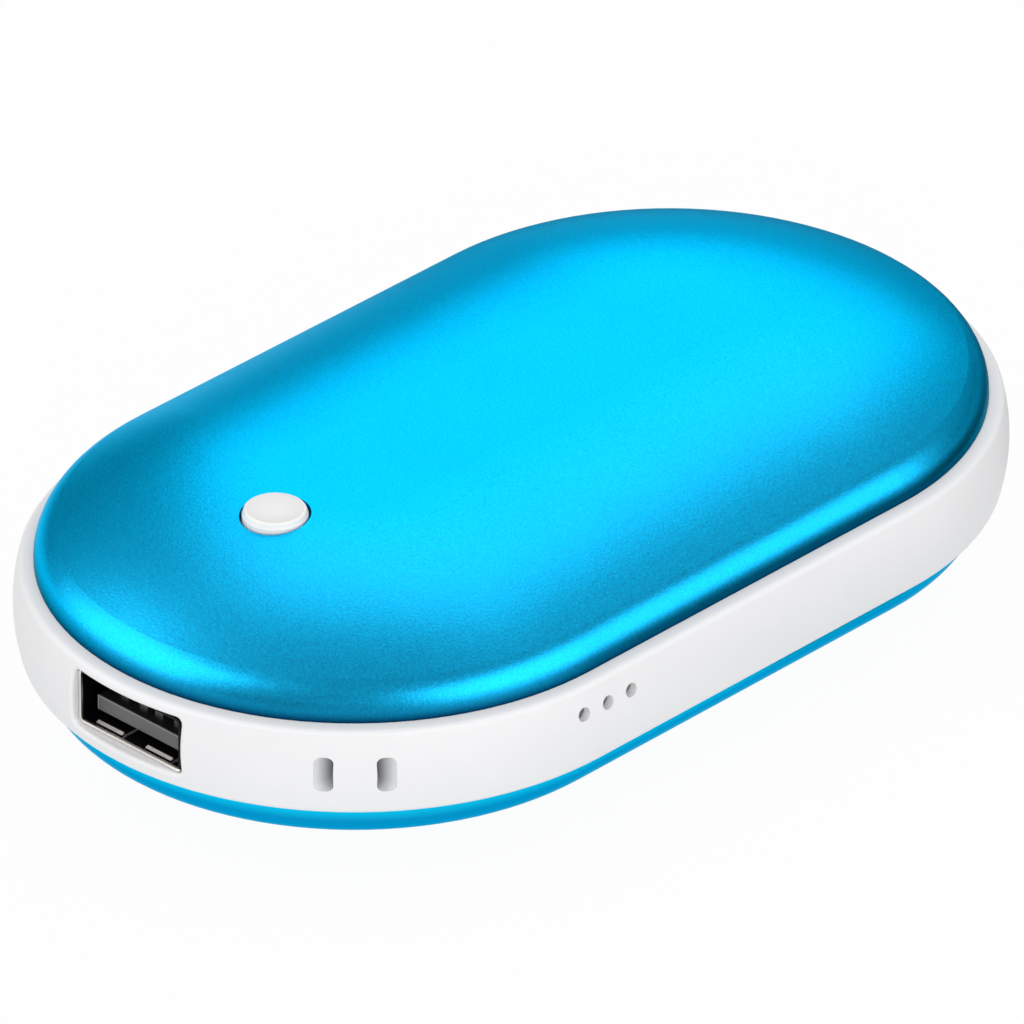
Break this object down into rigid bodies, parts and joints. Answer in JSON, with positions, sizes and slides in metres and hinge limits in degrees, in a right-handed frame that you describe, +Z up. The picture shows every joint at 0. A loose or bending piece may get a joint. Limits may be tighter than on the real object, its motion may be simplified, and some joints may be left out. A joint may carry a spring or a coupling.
{
  "type": "rechargeable hand warmer",
  "caption": "Rounded pocket hand warmer: pressed metal shells on a moulded frame with a USB outlet, charging inlet, lanyard bar, indicator holes and a push button.",
  "frame": {"origin": "on the table, at the middle of the lower shell's flat land", "axes": "+X along the length away from the USB outlet, +Z up towards the button"},
  "size_m": [0.1059, 0.064, 0.0277],
  "materials": {
    "shell_blue": "bead blasted, anodised blue",
    "frame_white": "moulded, semi-gloss white",
    "button_white": "moulded, semi-gloss white",
    "socket_steel": "plated sheet",
    "socket_black": "moulded black",
    "socket_grey": "moulded grey",
    "contact_gold": "gold plated",
    "guide_clear": "clear moulding, frosted",
    "led_amber": "moulded LED package",
    "board_green": "solder resist",
    "component_black": "moulded package",
    "component_tan": "ceramic",
    "screw_steel": "plated",
    "cell_sleeve": "sleeved cell",
    "nickel": "nickel strip",
    "insulator_white": "fibre ring",
    "cradle_grey": "moulded",
    "film_amber": "polyimide film",
    "foam_grey": "closed-cell foam",
    "lead_red": "insulated lead",
    "lead_black": "insulated lead",
    "lead_white": "insulated lead"
  },
  "bodies": {
    "housing": {"upper_shell": "shell_blue", "lower_shell": "shell_blue", "middle_frame": "frame_white", "light_guide": "guide_clear", "indicator_leds": "led_amber", "usb_a_shell": "socket_steel", "usb_a_insulator": "socket_grey", "usb_a_contacts": "contact_gold", "micro_usb_shell": "socket_steel", "micro_usb_insulator": "socket_black", "micro_usb_contacts": "contact_gold", "circuit_board": "board_green", "board_screws": "screw_steel", "cradle_screws": "screw_steel", "switch_base": "component_black", "switch_cover": "socket_steel", "switch_dome": "nickel", "switch_terminals": "nickel", "boost_inductor": "component_black", "charge_chip": "component_black", "control_chip": "component_black", "board_capacitors": "component_tan", "board_resistors": "component_black", "cell_left": "cell_sleeve", "cell_right": "cell_sleeve", "cell_insulators": "insulator_white", "positive_strip": "nickel", "negative_strip": "nickel", "cell_cradle": "cradle_grey", "upper_heater_film": "film_amber", "lower_heater_film": "film_amber", "upper_foam_pad": "foam_grey", "lower_foam_pad": "foam_grey", "thermistor": "component_black", "battery_lead_red": "lead_red", "battery_lead_black": "lead_black", "upper_heater_leads": "lead_white", "lower_heater_leads": "lead_white", "sensor_leads": "lead_black"},
    "button": {"power_button": "button_white"},
    "plunger": {"switch_plunger": "component_black"}
  },
  "joints": [
    {"name": "button_press", "type": "slide", "parent": "housing", "child": "button", "axis": [0, 0, -1], "range_m": [0, 0.0003], "stiffness_N_per_m": 2000, "springref_m": -0.0005},
    {"name": "plunger_press", "type": "slide", "parent": "housing", "child": "plunger", "axis": [0, 0, -1], "range_m": [0, 0.0003], "deforming": ["switch_dome"]}
  ],
  "couplings": [
    {"joint": "plunger_press", "follows": "button_press", "ratio": 1}
  ]
}
